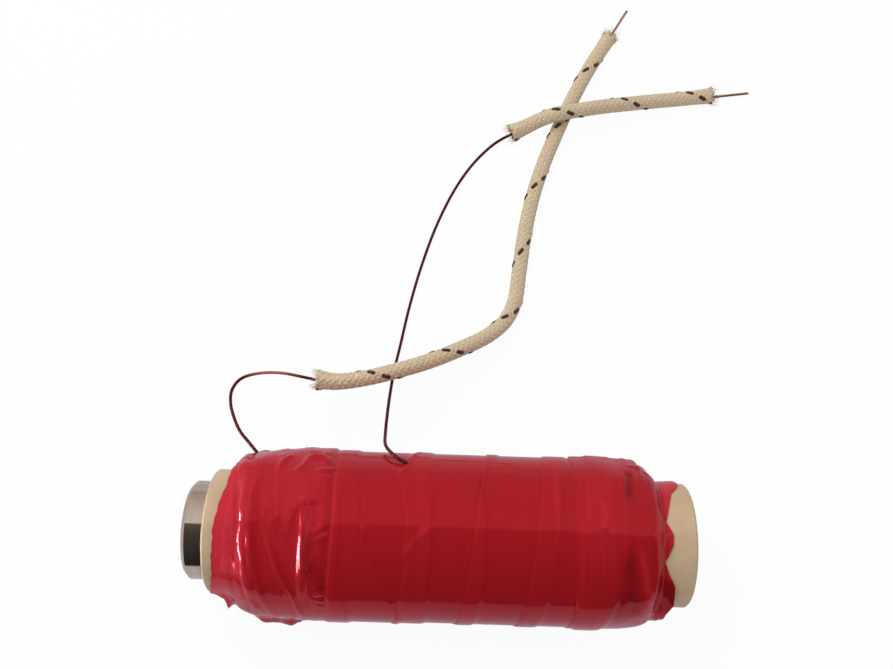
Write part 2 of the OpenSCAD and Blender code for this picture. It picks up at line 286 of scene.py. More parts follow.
def drape(x):
    """Radius of the surface that the tape is drawn over, rounded over the layers' corners."""
    steps = [(i / (LAYERS - 1)) ** 3 for i in range(LAYERS)]
    tops = [TUBE_R + WIRE_D * (i + 1) for i in range(LAYERS)]
    left = [WIND_L + STEP_L * s for s in steps]
    right = [WIND_R - STEP_R * s for s in steps]
    # How far past the bottom layer the tape meets the tube, and how far it reaches past each step
    foot, reach = 0.3, 0.4
    along = [left[0] - foot, *left, *right[::-1], right[0] + foot]
    radii = [TUBE_R, *tops, *tops[::-1], TUBE_R]
    shifts = (-0.7, -0.35, 0.0, 0.35, 0.7)
    total = 0
    for shift in shifts:
        total = total + np.maximum(
            np.interp(x + shift - reach, along, radii), np.interp(x + shift + reach, along, radii))
    return total / len(shifts)


def strip_edge(turn):
    """X of the strip's left edge."""
    return np.interp(turn, EDGE[:, 0], EDGE[:, 1])


def strip_width(turn):
    """Width of the strip, which is less where it was stretched."""
    return np.interp(turn, WIDTH[:, 0], WIDTH[:, 1])


def passes_below(turn, x, slope):
    """How many passes of the strip lie under a place on it, with a slope beside their edges."""
    count = np.zeros_like(x)
    for back in (1, 2, 3):
        under = turn - back
        left = strip_edge(under)
        outside = np.maximum(np.maximum(left - x, x - left - strip_width(under)), 0)
        count += np.where(under < 0, 0, np.clip(1 - outside / slope, 0, 1))
    return count


def strokes(x, angle, routes, lip=False):
    """Sum of the strokes of a list at places on the wrap. A lip is steep on one side only."""
    height = np.zeros_like(x)
    around = math.radians(1) * WRAP_R
    for rise, half, route in routes:
        route = np.array(route, float)
        reach = half * (6 if lip else 3)
        low, high = route.min(0), route.max(0)
        near = ((x > low[0] - reach) & (x < high[0] + reach)
                & (angle > low[1] - reach / around) & (angle < high[1] + reach / around))
        if not near.any():
            continue
        place = np.stack([x[near], angle[near] * around], -1)
        knots = route * (1, around)
        lengths = np.linalg.norm(np.diff(knots, axis=0), axis=1)
        best = np.full(len(place), np.inf)
        side = np.zeros(len(place))
        along = np.zeros(len(place))
        done = 0.0
        for a, b, length in zip(knots[:-1], knots[1:], lengths):
            d = (b - a) / length
            u = np.clip((place - a) @ d, 0, length)
            away = place - a - u[:, None] * d
            gap = np.linalg.norm(away, axis=1)
            closer = gap < best
            best[closer] = gap[closer]
            side[closer] = np.sign(d[0] * away[:, 1] - d[1] * away[:, 0])[closer]
            along[closer] = (done + u)[closer]
            done += length
        # A stroke fades out smoothly over the quarter of its length at each end
        fade = ramp(np.minimum(along, done - along), 0, 0.25 * done)
        fade = fade * fade * (3 - 2 * fade)
        if lip:
            signed = best * side
            shape = np.exp(-np.maximum(signed, 0) / (3 * half)) / (1 + np.exp(-signed / (0.25 * half)))
        else:
            shape = hump(best, 0, half)
        height[near] += rise * shape * fade
    return height


def crinkle(x, angle):
    """Irregular folds that run along the tape, up to 1 high, and close up round the coil."""
    turn = np.radians(angle)
    warp = 1.6 * np.sin(2 * turn + 1.0) + 1.1 * np.sin(3 * turn - x / 3.1)
    warp = warp + 0.6 * np.sin(7 * turn + x / 2.3)
    # Round folds about 4.7 mm apart and sharp ones about 1.4 mm apart, in patches
    soft = (0.5 + 0.5 * np.sin(x * 1.35 + warp)) ** 2
    sharp = (1 - np.abs(np.sin(x * 2.3 - 1.3 * warp + 4 * turn))) ** 2
    patch = 0.5 + 0.5 * np.sin(5 * turn - x / 2.7 + 0.7 * warp)
    return (0.65 * soft + 0.35 * sharp) * (0.35 + 0.65 * patch)


def tape_surface(turn, share):
    """Place, radius, angle and tone of the strip's lower face, by turns and by share of its width."""
    # X where the two ends begin to crumple, where the pale tube is below, and where the edges flare
    crumpled, on_tube, flared = (-20.3, 31), (-39.9, 44.2), (-41.9, 43.8)
    # Angles of the middle of the side that is seen, of a flap at the right end, and of the floor
    seen_at, flap_at, floor_at = 80, 22, 270
    # The start was cut in a step: the left part of the strip begins a little further round
    turn = turn + 0.036 * ramp(-turn, -0.12, 0.12) * ramp(-share, -0.2, 0.02)
    angle = (360 * turn) % 360
    inwards = share * strip_width(turn)
    # The right edge is puckered, and the left one is wavy, with small jags in the first turn
    pucker = np.interp(turn, PUCKER[:, 0], PUCKER[:, 1]) * ramp(share, 0.6, 0.4) ** 2
    jag = 0.16 * np.sin(61 * turn) * np.sin(149 * turn + 1) * (1 - share) ** 6 * (turn < 1)
    wave = 0.12 * np.sin(23 * turn + 0.5) * np.sin(41 * turn) * (1 - share) ** 4
    x = strip_edge(turn) + inwards + pucker + jag + wave
    r = drape(x)
    # What props the tape lets it down again over its last 0.7 mm
    let_go = 0.7
    for centre, half, x0, x1, height, fall in PROPPED:
        way = np.sign(x0)
        out = way * (x - x0)
        held = hump(angle_from(angle, centre), 0, half, 4) * ramp(way * (x1 - x), 0, let_go) * (out > 0)
        r = r + held * np.clip(height - fall * out - r, 0, None)
    # The crumpled ends: the left one reaches to the third pass, the right one over the last laps. They are
    # smoother on the side that is seen, on the collar and at the front of the right end
    left, right = ramp(-x, -crumpled[0], 3), ramp(x, crumpled[1], 6)
    seen = hump(angle, seen_at, 75, 4)
    collar = (turn < 1) * ramp(-x, 39.3, 1.2)
    front = np.cos(np.radians(angle)).clip(0, 1)
    loose = (left * (0.35 - 0.21 * seen) * (1 - 0.9 * collar)
             + right * (0.2 - 0.12 * seen) * (1 - 0.8 * front) + 0.015)
    # Eight pleats on each slope from the winding down to the tube
    down = np.clip((WIND_TOP - r) / (WIND_TOP - TUBE_R), 0, 1)
    pleat = 4 * down * (1 - down) * (0.5 + 0.5 * np.cos(np.radians(8 * angle - 9 * (x - WIND_L)))) ** 1.5
    folds = strokes(x, angle, CREASES) + strokes(x, angle, LIPS, lip=True)
    folds = folds + loose * crinkle(x, angle) + pleat * (0.7 - 0.45 * seen)
    # The edges of both ends flare, the right one most at its flap
    flap = hump(angle_from(angle, flap_at), 0, 26)
    flare = 0.05 * np.clip(flared[0] - x, 0, None) * (turn < 1)
    flare = flare + (0.06 + 0.35 * flap) * np.clip(x - flared[1], 0, None)
    # Where the coil lies on the floor, all that is pressed flat
    pressed = 1 - 0.9 * hump(angle, floor_at, 38)
    # The rolled edge of the second lap, and the two cut ends, the first with a point that stands off
    uneven = 0.7 + 0.5 * np.cos(np.radians(15 * (angle - 92)))
    rolled = 0.32 * uneven * np.interp(turn, [1.0, 1.08, 1.4, 1.5], [0, 1, 1, 0]) * hump(inwards, 1.2, 1.0)
    point = 2.2 * hump(x, -42.3, 1.3)
    tips = (0.15 + point) * ramp(-turn, -0.06, 0.06) ** 1.5 + 0.25 * ramp(turn, LAST_TURN - 0.04, 0.04) ** 2
    # The last lap was rubbed down, so its left edge hardly shows
    rubbed = ramp(turn, 7.45, 0.05)
    lift = 0.05 * (1 - rubbed) * (0.5 + 0.5 * np.sin(13 * turn + 1)) - 0.05 * rubbed
    edge = lift * np.exp(-inwards / 0.5)
    below = passes_below(turn, x, 0.9)
    r = r + TAPE_GAP + below * (TAPE_T + TAPE_GAP) + (folds + flare) * pressed + rolled + tips + edge
    # The tape looks lighter over other passes, on the crumpled left end and where the pale tube is below. The
    # strokes of painted light and shade add lit ridges and bands, and shadowed valleys and flaps
    plies = passes_below(turn, x, 0.15)
    tube = ramp(-x, -on_tube[0], 1.0) + ramp(x, on_tube[1], 1.0)
    tone = 0.46 + 0.025 * np.minimum(plies, 1) + 0.01 * np.clip(plies - 1, 0, 1) + 0.06 * left
    tone = tone + 0.17 * tube + 0.05 * tube * (plies < 0.5) + strokes(x, angle, PAINTED_LIGHT_AND_SHADE)
    return x, r, angle, np.clip(tone, 0, 1)


def tape_length(name, start, stop, arc, across, material):
    """One length of the strip as a closed sheet, with its tone and its own lines along it."""
    stations = int((stop - start) * 2 * math.pi * WRAP_R / arc) + 1
    turns = np.linspace(start, stop, stations)
    # The face below has half as many points across as the face above
    shares = np.linspace(0, 1, 2 * int(STRIP_W / 2 / across) + 1)
    under = shares[::2]
    floor_gap, thin_edge = 0.02, 0.25
    points, tones, lines = [], [], []
    for columns, thick in ((shares, TAPE_T), (under, 0.0)):
        turn, share = np.meshgrid(turns, columns, indexing="ij")
        x, r, angle, tone = tape_surface(turn, share)
        a = np.radians(angle)
        # After the first turn the edges are pressed thin, and no face goes below the floor
        inwards = np.minimum(share, 1 - share) * STRIP_W
        r = r + thick * (1 - 0.8 * (turn > 1) * np.exp(-inwards / thin_edge))
        z = np.maximum(AXIS_Z + r * np.sin(a), TAPE_T - thick + floor_gap)
        points.append(np.stack([x, -r * np.cos(a), z], -1).reshape(-1, 3))
        tones.append(tone.ravel())
        lines.append(np.stack([turn * LAP * MM, share * STRIP_W * MM], -1).reshape(-1, 2))
    wide, narrow = len(shares), len(under)
    first = stations * wide
    faces = []
    for i in range(stations - 1):
        for j in range(wide - 1):
            a = i * wide + j
            faces.append((a, a + 1, a + wide + 1, a + wide))
        for j in range(narrow - 1):
            a = first + i * narrow + j
            faces.append((a, a + narrow, a + narrow + 1, a + 1))
        a, b = i * wide, first + i * narrow
        faces.append((a, a + wide, b + narrow, b))
        a, b = a + wide - 1, b + narrow - 1
        faces.append((a, b, b + narrow, a + wide))
    last, under_last = (stations - 1) * wide, first + (stations - 1) * narrow
    for j in range(narrow - 1):
        a, b = 2 * j, first + j
        faces.append((a + 2, a + 1, a, b, b + 1))
        a, b = last + 2 * j, under_last + j
        faces.append((a, a + 1, a + 2, b + 1, b))
    piece = mesh_piece(name, np.concatenate(points), faces, material)
    mesh = piece.data
    point_values(mesh, "tone", np.concatenate(tones))
    corner = np.empty(len(mesh.loops), np.int32)
    mesh.loops.foreach_get("vertex_index", corner)
    mesh.uv_layers.new(name="strip").data.foreach_set(
        "uv", np.concatenate(lines)[corner].astype(np.float32).ravel())
    mesh.polygons.foreach_set("use_smooth", np.ones(len(mesh.polygons), bool))
    mesh.set_sharp_from_angle(angle=math.radians(55))
    return piece


def vinyl_tape(settings):
    """Plasticised PVC insulating tape: glossy, a little see-through, drawn tight along its length."""
    material, tree, shader = new_material("calendered_red_vinyl_tape")
    strip = add(tree, "ShaderNodeUVMap", uv_map="strip")
    # Stretch lines run along the tape about 0.8 mm apart
    stretched = add(tree, "ShaderNodeMapping", {0: strip, "Scale": (12, 1250, 1)})
    lines = add(tree, "ShaderNodeTexNoise", {0: stretched, "Scale": 1.0, "Detail": 3.0})
    place = add(tree, "ShaderNodeTexCoord").outputs["Object"]
    # Handling smears, about 9 mm across
    smear = add(tree, "ShaderNodeTexNoise", {0: place, "Scale": 110.0, "Detail": 4.0, "Roughness": 0.6})
    tone = add(tree, "ShaderNodeAttribute", attribute_name="tone").outputs["Fac"]
    streak = add(tree, "ShaderNodeMath", {0: lines, 1: 0.16, 2: -0.08}, operation="MULTIPLY_ADD")
    both = add(tree, "ShaderNodeMath", {0: tone, 1: streak}, operation="ADD", use_clamp=True)
    # Tones below the middle go towards the painted shade colour, darker than the tape on copper, and those
    # above it go brighter, towards the tape over the pale tube and the painted light
    low = add(tree, "ShaderNodeMapRange", {0: both, 1: 0.0, 2: 0.5})
    high = add(tree, "ShaderNodeMapRange", {0: both, 1: 0.5, 2: 1.0})
    colour = add(tree, "ShaderNodeMix", {0: low, 6: (*settings.painted_shade, 1), 7: (*settings.over_copper, 1)},
                 data_type="RGBA")
    colour = add(tree, "ShaderNodeMix", {0: high, 6: colour.outputs[2], 7: (*settings.over_tube_and_painted_light, 1)},
                 data_type="RGBA")
    gloss = add(tree, "ShaderNodeMapRange", {0: smear, 1: 0.35, 2: 0.75, 3: 0.08, 4: 0.2})
    bump = add(tree, "ShaderNodeBump", {"Strength": 0.25, "Distance": 0.02 * MM, "Height": lines})
    set_inputs(tree, shader, {
        "Base Color": colour.outputs[2], "Roughness": gloss, "Normal": bump, "Metallic": 0.15, "IOR": 1.54,
        "Specular IOR Level": 0.38, "Specular Tint": (*linear("#FF5A78"), 1), "Coat Weight": 0.15,
        "Coat Roughness": 0.05})
    return material


# Leads and sleeving

def smooth_route(points, step):
    """Points about a step apart on a smooth curve through the route's points."""
    p = np.array(points, float)
    p = np.vstack([2 * p[0] - p[1], p, 2 * p[-1] - p[-2]])
    dense = []
    for a, b, c, d in zip(p[:-3], p[1:-2], p[2:-1], p[3:]):
        gaps = [math.sqrt(np.linalg.norm(v)) for v in (b - a, c - b, d - c)]
        t0, t1, t2, t3 = np.cumsum([0, *gaps])
        t = np.linspace(t1, t2, max(2, int(np.linalg.norm(c - b) / step * 4)), endpoint=False)[:, None]

        def between(u, p0, v, p1):
            return (v - t) / (v - u) * p0 + (t - u) / (v - u) * p1

        a1, a2, a3 = between(t0, a, t1, b), between(t1, b, t2, c), between(t2, c, t3, d)
        b1, b2 = between(t0, a1, t2, a2), between(t1, a2, t3, a3)
        dense.append(between(t1, b1, t2, b2))
    dense = np.vstack([*dense, p[-2:-1]])
    run = np.concatenate([[0], np.cumsum(np.linalg.norm(np.diff(dense, axis=0), axis=1))])
    even = np.linspace(0, run[-1], int(run[-1] / step) + 1)
    return np.stack([np.interp(even, run, dense[:, i]) for i in range(3)], -1)


def route_length(route):
    """Length of a route, in its own units."""
    return float(np.linalg.norm(np.diff(route, axis=0), axis=1).sum())


def curve_piece(name, route, radius, material):
    """Round wire along a route, in millimetres, as one open spline."""
    curve = bpy.data.curves.new(name, "CURVE")
    curve.dimensions = "3D"
    curve.bevel_depth = radius * MM
    curve.bevel_resolution = 3
    curve.use_fill_caps = True
    spline = curve.splines.new("POLY")
    spline.points.add(len(route) - 1)
    spline.points.foreach_set(
        "co", np.hstack([route * MM, np.ones((len(route), 1))]).astype(np.float32).ravel())
    spline.use_smooth = True
    if material:
        curve.materials.append(material)
    piece = bpy.data.objects.new(name, curve)
    bpy.context.scene.collection.objects.link(piece)
    return piece


def lead_route(exits, free, sleeved):
    """Route of a wire: out of the tape, through the air, on the floor of its sleeving and past its end."""
    # The solids' bore has eight flat sides, and the wire lies a little above the lowest
    flat, above, past = math.cos(math.pi / 8), 0.25, 2
    inside = np.array(sleeved, float) - (0, 0, SLEEVE_BORE / 2 * flat - WIRE_D / 2 - above)
    way = inside[-1] - inside[-2]
    end = inside[-1] + past * way / np.linalg.norm(way)
    return smooth_route([*exits, *free, *inside.tolist(), end.tolist()], step=0.6)


def braid_strands(length, settings):
    """Two strands each way of a straight 2-over-2 braid along X, with frayed fibres at both mouths.

    Gives points in millimetres, faces, and for each point the strand's number, or 4 for a fibre,
    and its place along and across the yarn."""
    carriers, pitch = settings.carriers, settings.pitch * 1000
    width, thick, wave = settings.yarn_width * 1000, settings.yarn_thickness * 1000, 0.1
    middle = settings.sleeve_diameter * 500 - thick / 2 - wave
    slant = math.atan(2 * math.pi * middle / pitch)
    ring = np.radians(np.arange(6) * 60.0)
    rng = np.random.default_rng(11)
    points, faces, marks = [], [], []

    def tube(place, strand, along):
        """Add one closed yarn or fibre."""
        n, sides, first = len(place), place.shape[1], sum(len(p) for p in points)
        points.append(place.reshape(-1, 3))
        across = np.cos(np.arange(sides) * 2 * math.pi / sides)
        each = np.broadcast_arrays(strand, along[:, None], across[None, :])
        marks.append(np.stack(each, -1).reshape(-1, 3))
        for i in range(n - 1):
            for j in range(sides):
                a, b = first + i * sides + j, first + i * sides + (j + 1) % sides
                faces.append((a, b, b + sides, a + sides))
        faces.append(tuple(range(first + sides - 1, first - 1, -1)))
        faces.append(tuple(range(first + (n - 1) * sides, first + n * sides)))

    def mouth(s):
        """How far the braid is flared, at the near mouth more than at the far one."""
        near, far = np.clip(s, 0, None), np.clip(length - s, 0, None)
        return 0.5 * np.exp(-near / 2.4) + 0.3 * np.exp(-far / 1.8)

    for number, (way, i) in enumerate([(1, 0), (1, 1), (-1, 0), (-1, 1)]):
        # Eight stations for each time that a yarn goes over and under
        count = int(length / pitch * 2 * carriers / 4 * 8)
        s = np.linspace(rng.uniform(-0.3, 0.9), length - rng.uniform(-0.3, 0.9), count)
        crossing = 2 * carriers * s / pitch
        over = way * np.cos(math.pi / 2 * (2 * i + way * crossing - 0.5))
        over = over * (1.5 - 0.5 * over ** 2)
        turn = 2 * math.pi * (way * s / pitch + i / carriers)
        aside = -width / 2 * np.cos(ring)[None, :]
        height = thick / 2 * np.sin(ring)[None, :]
        r = (middle + wave * over + mouth(s))[:, None] + height
        phi = turn[:, None] + math.cos(slant) * aside / middle
        x = s[:, None] - way * math.sin(slant) * aside
        tube(np.stack([x, r * np.cos(phi), r * np.sin(phi)], -1), number, s)
    # The fibres start a little inside each mouth, on the outside of the braid, and bend away from it
    fibres, inside, outside, fine = 9, 0.8, 0.4, 0.06
    triangle = fine * np.array([(0, 1, 0), (0, -0.5, 0.87), (0, -0.5, -0.87)])
    f = np.linspace(0, 1, 6)
    for at, out in ((0.0, -1), (length, 1)):
        for _ in range(fibres):
            reach, splay = rng.uniform(1.0, 2.8), rng.uniform(-0.5, 1.3)
            phi = rng.uniform(0, math.pi / 2) + rng.uniform(-0.5, 0.5) * f ** 2
            r = middle + outside + splay * f ** 2
            spine = np.stack([at - out * inside + out * reach * f, r * np.cos(phi), r * np.sin(phi)], -1)
            fibre = spine[:, None, :] + triangle[None] * (1 - 0.6 * f[:, None, None])
            tube(fibre[:, ::out], 4, f * reach)
    return np.concatenate(points), faces, np.concatenate(marks)


def sleeve_tree(yarn, tracer):
    """Geometry Nodes that repeat the strands of a braid round its axis and lay them along a route."""
    tree = bpy.data.node_groups.new("braid_along_route", "GeometryNodeTree")
    inputs = {"Geometry": "Geometry", "Route": "Object", "Copies": "Int", "Lead in": "Float"}
    for name, kind in inputs.items():
        tree.interface.new_socket(name, in_out="INPUT", socket_type="NodeSocket" + kind)
    tree.interface.new_socket("Geometry", in_out="OUTPUT", socket_type="NodeSocketGeometry")
    given = add(tree, "NodeGroupInput").outputs
    row = add(tree, "GeometryNodeMeshLine", {"Count": given["Copies"], "Offset": (0, 0, 0)})
    index = add(tree, "GeometryNodeInputIndex")
    step = add(tree, "ShaderNodeMath", {0: 2 * math.pi, 1: given["Copies"]}, operation="DIVIDE")
    turn = add(tree, "ShaderNodeMath", {0: index, 1: step}, operation="MULTIPLY")
    spin = add(tree, "ShaderNodeCombineXYZ", {0: turn})
    copies = add(tree, "GeometryNodeInstanceOnPoints",
                 {"Points": row, "Instance": given["Geometry"], "Rotation": spin})
    numbered = add(tree, "GeometryNodeStoreNamedAttribute",
                   {"Geometry": copies, "Name": "copy", "Value": index},
                   data_type="FLOAT", domain="INSTANCE")
    whole = add(tree, "GeometryNodeRealizeInstances", {0: numbered})
    path = add(tree, "GeometryNodeObjectInfo", {"Object": given["Route"]}, transform_space="RELATIVE")
    place = add(tree, "ShaderNodeSeparateXYZ", {0: add(tree, "GeometryNodeInputPosition")}).outputs
    copy, strand, across = (add(tree, "GeometryNodeInputNamedAttribute", {"Name": name}, data_type="FLOAT")
                            for name in ("copy", "strand", "across"))
    # The first strand of the first copy is the dark tracer, a finer and slacker yarn: it is narrower than
    # the rest, and prouder by a share of its radius
    both = add(tree, "ShaderNodeMath", {0: copy, 1: strand}, operation="ADD")
    dark = add(tree, "ShaderNodeMath", {0: both, 1: 0.5}, operation="LESS_THAN")
    slack, narrower = 0.075, 0.17 * MM
    proud = add(tree, "ShaderNodeMath", {0: dark, 1: slack, 2: 1.0}, operation="MULTIPLY_ADD")
    fine = add(tree, "ShaderNodeMath", {0: dark, 1: across}, operation="MULTIPLY")
    along = add(tree, "ShaderNodeMath", {0: place[0], 1: given["Lead in"]}, operation="ADD")
    along = add(tree, "ShaderNodeMath", {0: fine, 1: -narrower, 2: along}, operation="MULTIPLY_ADD")
    spot = add(tree, "GeometryNodeSampleCurve", {"Curves": path.outputs["Geometry"], "Length": along},
               mode="LENGTH", use_all_curves=True).outputs
    side = add(tree, "ShaderNodeVectorMath", {0: spot["Tangent"], 1: spot["Normal"]},
               operation="CROSS_PRODUCT")
    up = add(tree, "ShaderNodeVectorMath", {0: spot["Normal"], "Scale": place[1]}, operation="SCALE")
    out = add(tree, "ShaderNodeVectorMath", {0: side, "Scale": place[2]}, operation="SCALE")
    level = add(tree, "ShaderNodeVectorMath", {0: up, 1: out}, operation="ADD")
    ring = add(tree, "ShaderNodeVectorMath", {0: level, "Scale": proud}, operation="SCALE")
    there = add(tree, "ShaderNodeVectorMath", {0: spot["Position"], 1: ring}, operation="ADD")
    laid = add(tree, "GeometryNodeSetPosition", {"Geometry": whole, "Position": there})
    smooth = add(tree, "GeometryNodeSetShadeSmooth", {"Geometry": laid})
    finish = add(tree, "GeometryNodeSetMaterial", {"Geometry": smooth, "Material": yarn})
    finish = add(tree, "GeometryNodeSetMaterial", {"Geometry": finish, "Selection": dark, "Material": tracer})
    add(tree, "NodeGroupOutput", {0: finish})
    return tree


def braided_sleeve(name, sleeved, settings, tree):
    """Braided sleeving along its route, as a plain mesh, and the route's points."""
    lead_in = 5.0
    route = smooth_route(sleeved, step=0.5)
    length = route_length(route)
    start, end = route[0] - route[1], route[-1] - route[-2]
    longer = np.vstack([route[0] + start / np.linalg.norm(start) * lead_in, route,
                        route[-1] + end / np.linalg.norm(end) * lead_in])
    guide = curve_piece(name + "_guide", longer, 0, None)
    points, faces, marks = braid_strands(length, settings)
    straight = mesh_piece(name, points, faces, bpy.data.materials["woven_glass_yarn"])
    for column, key in enumerate(("strand", "along", "across")):
        point_values(straight.data, key, marks[:, column])
    modifier = straight.modifiers.new("Braid", "NODES")
    modifier.node_group = tree
    sockets = {s.name: s.identifier for s in tree.interface.items_tree if s.in_out == "INPUT"}
    modifier[sockets["Route"]] = guide
    modifier[sockets["Copies"]] = settings.carriers // 2
    modifier[sockets["Lead in"]] = lead_in * MM
    bpy.context.view_layer.update()
    baked = bpy.data.meshes.new_from_object(
        straight.evaluated_get(bpy.context.evaluated_depsgraph_get()))
    straight.modifiers.clear()
    straight.data = baked
    # Yarns that the flared mouths would push into the floor lie flat just above it
    clear = 0.03 * MM
    place = np.empty(len(baked.vertices) * 3, np.float32)
    baked.vertices.foreach_get("co", place)
    place[2::3] = np.maximum(place[2::3], clear)
    baked.vertices.foreach_set("co", place)
    baked.update()
    bpy.data.objects.remove(guide)
    if len(baked.polygons) < 1000:
        raise RuntimeError(f"{name}: the braid came out empty")
    return straight, route


def enamel(settings):
    """Copper under polyester-imide enamel: a dark red-brown varnish over metal, dulled by handling."""
    material, tree, shader = new_material("enamelled_copper_wire")
    place = add(tree, "ShaderNodeTexCoord").outputs["Object"]
    # Uneven varnish, about 5 mm long
    uneven = add(tree, "ShaderNodeTexNoise", {0: place, "Scale": 200.0, "Detail": 2.0})
    dark = tuple(0.6 * c for c in settings.enamel)
    colour = add(tree, "ShaderNodeMix", {0: uneven, 6: (*dark, 1), 7: (*settings.enamel, 1)},
                 data_type="RGBA")
    # Painted highlight on the arch of lead A: over about 9 mm the colour goes to a light copper brown, which
    # stands in for the light that the arch catches; it is full within the radius bare
    middle, bare, highlight_fade_end = (-0.0386, 0.0358, 0.0106), 2.5 * MM, 6.5 * MM
    highlight_distance = add(tree, "ShaderNodeVectorMath", {0: place, 1: middle}, operation="DISTANCE")
    wear_and_painted_highlight = add(tree, "ShaderNodeMapRange", {0: highlight_distance.outputs["Value"], 1: bare, 2: highlight_fade_end, 3: 1.0, 4: 0.0})
    colour = add(tree, "ShaderNodeMix", {0: wear_and_painted_highlight, 6: colour.outputs[2], 7: (*linear("#B86E5C"), 1)},
                 data_type="RGBA")
    set_inputs(tree, shader, {
        "Base Color": colour.outputs[2], "Metallic": 0.28, "Roughness": 0.45, "Specular IOR Level": 0.15})
    return material


def glass_yarn(name, light, dark):
    """Varnished glass-fibre yarn: matt cream, with its filaments showing as fine lines."""
    material, tree, shader = new_material(name)
    along, across, strand = (add(tree, "ShaderNodeAttribute", attribute_name=key).outputs["Fac"]
                             for key in ("along", "across", "strand"))
    # Filament bundles about 0.15 mm wide, drawn coarser than they are so that they show
    lay = add(tree, "ShaderNodeCombineXYZ", {0: along, 1: across, 2: strand})
    drawn = add(tree, "ShaderNodeMapping", {0: lay, "Scale": (0.3, 3.4, 7.0)})
    lines = add(tree, "ShaderNodeTexNoise", {0: drawn, "Scale": 1.0, "Detail": 3.0, "Roughness": 0.7})
    spread = add(tree, "ShaderNodeMapRange", {0: lines, 1: 0.3, 2: 0.7})
    colour = add(tree, "ShaderNodeMix", {0: spread, 6: (*dark, 1), 7: (*light, 1)}, data_type="RGBA")
    bump = add(tree, "ShaderNodeBump", {"Strength": 0.5, "Distance": 0.04 * MM, "Height": lines})
    set_inputs(tree, shader, {
        "Base Color": colour.outputs[2], "Normal": bump, "Roughness": 0.62, "Sheen Weight": 0.15})
    return material


# Former, core and winding

def former_pvc(settings):
    """Extruded rigid PVC conduit, aged cream: satin, with faint draw lines, yellowing and specks of dirt."""
    material, tree, shader = new_material("aged_cream_pvc_conduit")
    place = add(tree, "ShaderNodeTexCoord").outputs["Object"]
    # Draw lines along the tube, about 1 mm apart, and yellowing in patches of about 12 mm
    drawn = add(tree, "ShaderNodeMapping", {0: place, "Scale": (40, 1000, 1000)})
    lines = add(tree, "ShaderNodeTexNoise", {0: drawn, "Scale": 1.0, "Detail": 2.0})
    patch = add(tree, "ShaderNodeTexNoise", {0: place, "Scale": 85.0, "Detail": 5.0, "Roughness": 0.65})
    # Specks of dirt, about 0.3 mm
    speck = add(tree, "ShaderNodeTexVoronoi", {0: place, "Scale": 260.0})
    dirt = add(tree, "ShaderNodeMapRange", {0: speck, 1: 0.05, 2: 0.11, 3: 1.0, 4: 0.0})
    some = add(tree, "ShaderNodeMapRange", {0: patch, 1: 0.52, 2: 0.62})
    spots = add(tree, "ShaderNodeMath", {0: dirt, 1: some}, operation="MULTIPLY")
    wear_and_painted_highlight = add(tree, "ShaderNodeMapRange", {0: patch, 1: 0.3, 2: 0.75})
    colour = add(tree, "ShaderNodeMix", {0: wear_and_painted_highlight, 6: (*settings.tube_pale, 1), 7: (*settings.tube_worn, 1)},
                 data_type="RGBA")
    soiled = add(tree, "ShaderNodeMix", {0: spots, 6: colour.outputs[2], 7: (*linear("#7A6450"), 1)},
                 data_type="RGBA")
    satin = add(tree, "ShaderNodeMapRange", {0: patch, 1: 0.3, 2: 0.7, 3: 0.36, 4: 0.55})
    bump = add(tree, "ShaderNodeBump", {"Strength": 0.3, "Distance": 0.04 * MM, "Height": lines})
    set_inputs(tree, shader, {
        "Base Color": soiled.outputs[2], "Roughness": satin, "Normal": bump, "IOR": 1.53})
    return material


def turned_iron(settings):
    """Soft iron bar, turned in a lathe: bright, with fine feed lines round it and a little stain."""
    material, tree, shader = new_material("turned_soft_iron")
    place = add(tree, "ShaderNodeTexCoord").outputs["Object"]
    # Feed lines round the bar, about 0.25 mm apart, and stains of about 4 mm
    fine = add(tree, "ShaderNodeMapping", {0: place, "Scale": (4000, 30, 30)})
    feed = add(tree, "ShaderNodeTexNoise", {0: fine, "Scale": 1.0, "Detail": 2.0, "Roughness": 0.7})
    stain = add(tree, "ShaderNodeTexNoise", {0: place, "Scale": 260.0, "Detail": 5.0, "Roughness": 0.6})
    both = add(tree, "ShaderNodeMath", {0: feed, 1: stain}, operation="ADD")
    share = add(tree, "ShaderNodeMapRange", {0: both, 1: 0.7, 2: 1.3})
    colour = add(tree, "ShaderNodeMix", {0: share, 6: (*settings.iron_dark, 1), 7: (*settings.iron, 1)},
                 data_type="RGBA")
    rough = add(tree, "ShaderNodeMapRange", {0: stain, 1: 0.3, 2: 0.7, 3: 0.08, 4: 0.13})
    bump = add(tree, "ShaderNodeBump", {"Strength": 0.35, "Distance": 0.01 * MM, "Height": feed})
    set_inputs(tree, shader, {
        "Base Color": colour.outputs[2], "Roughness": rough, "Normal": bump, "Metallic": 1.0})
    return material


def wound_copper(settings):
    """Enamelled wire laid side by side: one ridge for each turn, 0.72 mm apart along the coil."""
    material, tree, shader = new_material("wound_enamelled_copper")
    place = add(tree, "ShaderNodeTexCoord").outputs["Object"]
    along = add(tree, "ShaderNodeSeparateXYZ", {0: place})
    turns = add(tree, "ShaderNodeMath", {0: along, 1: 2 * math.pi / (WIRE_D * MM)}, operation="MULTIPLY")
    ridge = add(tree, "ShaderNodeMath", {0: turns}, operation="COSINE")
    # Painted shade: the grooves between the turns are drawn darker, down to 0.3 of the enamel colour
    shade = add(tree, "ShaderNodeMapRange", {0: ridge, 1: -1.0, 2: 0.4})
    dark = tuple(0.3 * c for c in settings.enamel)
    colour = add(tree, "ShaderNodeMix", {0: shade, 6: (*dark, 1), 7: (*settings.enamel, 1)}, data_type="RGBA")
    bump = add(tree, "ShaderNodeBump", {"Strength": 1.0, "Distance": 0.2 * MM, "Height": ridge})
    set_inputs(tree, shader, {
        "Base Color": colour.outputs[2], "Normal": bump, "Metallic": 0.45, "Roughness": 0.3})
    return material


